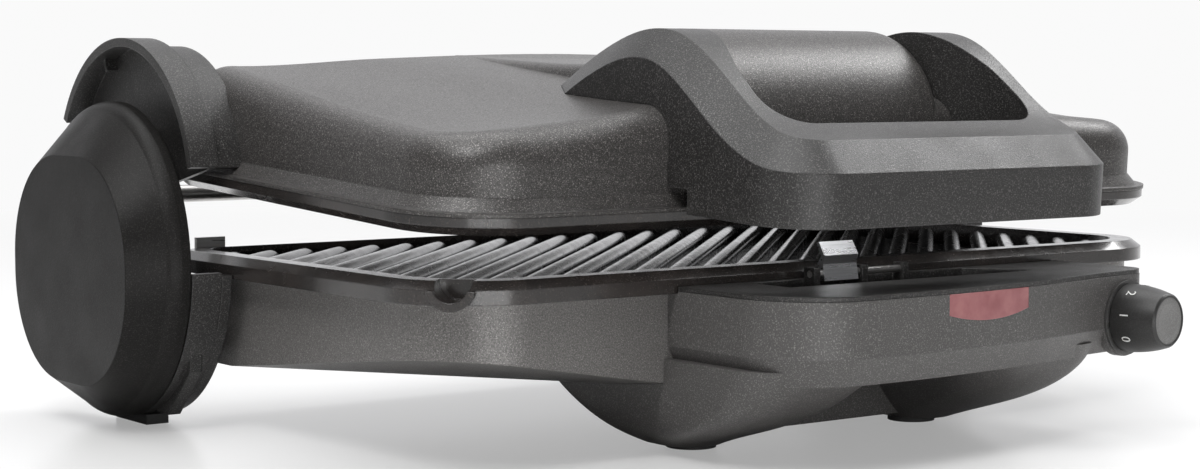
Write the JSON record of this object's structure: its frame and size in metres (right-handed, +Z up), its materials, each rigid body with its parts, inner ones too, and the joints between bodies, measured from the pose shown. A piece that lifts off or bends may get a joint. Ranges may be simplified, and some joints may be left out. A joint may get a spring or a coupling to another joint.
{
  "type": "electric contact grill with floating hinged lid",
  "caption": "Electric indoor contact grill: two ribbed plates at a slant, a charcoal lid with a U-shaped grip on floating side hinges, and a front housing with thermostat knob and pilot lens.",
  "frame": {"origin": "middle of the outline on the plane that the feet stand on", "axes": "X left to right as the user faces the grill, Y front to back, Z up; the front with the knob is at -Y"},
  "size_m": [0.389, 0.2934, 0.1327],
  "materials": {
    "charcoal_fleck": "satin",
    "black_moulding": "matte",
    "knob_black": "satin",
    "knob_grey": "satin",
    "light_ring": "satin",
    "nonstick_plate": "satin",
    "element_steel": "satin",
    "sheet_aluminium": "satin",
    "lamp_glass": "gloss",
    "red_lens": "gloss",
    "foot_rubber": "matte",
    "bright_steel": "satin",
    "chrome_clip": "polished"
  },
  "bodies": {
    "base": {"base_housing": "charcoal_fleck", "base_screws": "bright_steel", "cable_inlet": "black_moulding", "terminal_block": "black_moulding", "lower_reflector": "sheet_aluminium", "lower_heater": "element_steel", "lower_grill_plate": "nonstick_plate", "front_housing": "black_moulding", "front_deck": "black_moulding", "pilot_lamp": "lamp_glass", "pilot_lens": "red_lens", "front_foot_pads": "foot_rubber", "rear_foot_pads": "foot_rubber", "hinge_tower_left": "black_moulding", "hinge_tower_right": "black_moulding", "side_cap_left": "black_moulding", "side_cap_right": "black_moulding", "thermostat": "black_moulding", "knob_bezel": "light_ring", "lower_latch_pin": "bright_steel", "plate_catches": "bright_steel"},
    "carriages": {"hinge_carriage_left": "bright_steel", "hinge_carriage_right": "bright_steel"},
    "hinge_shaft": {"hinge_rod": "bright_steel"},
    "lid": {"lid_housing": "charcoal_fleck", "hinge_hood_left": "black_moulding", "hinge_hood_right": "black_moulding", "handle": "black_moulding", "handle_underside": "black_moulding", "handle_screws": "bright_steel", "upper_grill_plate": "nonstick_plate", "upper_heater": "element_steel", "upper_reflector": "sheet_aluminium", "upper_plate_latch": "chrome_clip"},
    "knob": {"thermostat_knob": "knob_black", "knob_cap": "knob_grey", "thermostat_shaft": "bright_steel"},
    "lower_clip": {"lower_plate_latch": "chrome_clip"}
  },
  "joints": [
    {"name": "lid_float", "type": "slide", "parent": "base", "child": "carriages", "axis": [0, 0, 1], "range_m": [-0.0215, 0.003]},
    {"name": "lid_level", "type": "hinge", "parent": "carriages", "child": "hinge_shaft", "pos_m": [0, 0.09324, 0.0768], "axis": [-1, 0, 0], "range_deg": [-0.5, 3.35]},
    {"name": "lid_open", "type": "hinge", "parent": "hinge_shaft", "child": "lid", "pos_m": [0, 0.09324, 0.0768], "axis": [-1, 0, 0], "range_deg": [0, 95]},
    {"name": "thermostat_turn", "type": "hinge", "parent": "base", "child": "knob", "pos_m": [0.0805, -0.12926, 0.038], "axis": [-0.1219, 0.9925, 0], "range_deg": [0, 270]},
    {"name": "lower_clip_swing", "type": "hinge", "parent": "base", "child": "lower_clip", "pos_m": [-0.0145, -0.09236, 0.0552], "axis": [1, 0, 0], "range_deg": [0, 20], "stiffness_Nm_per_rad": 0.2, "springref_deg": -5.73}
  ],
  "couplings": [
    {"joint": "lid_level", "follows": "lid_float", "rad_per_m": -2.679}
  ]
}
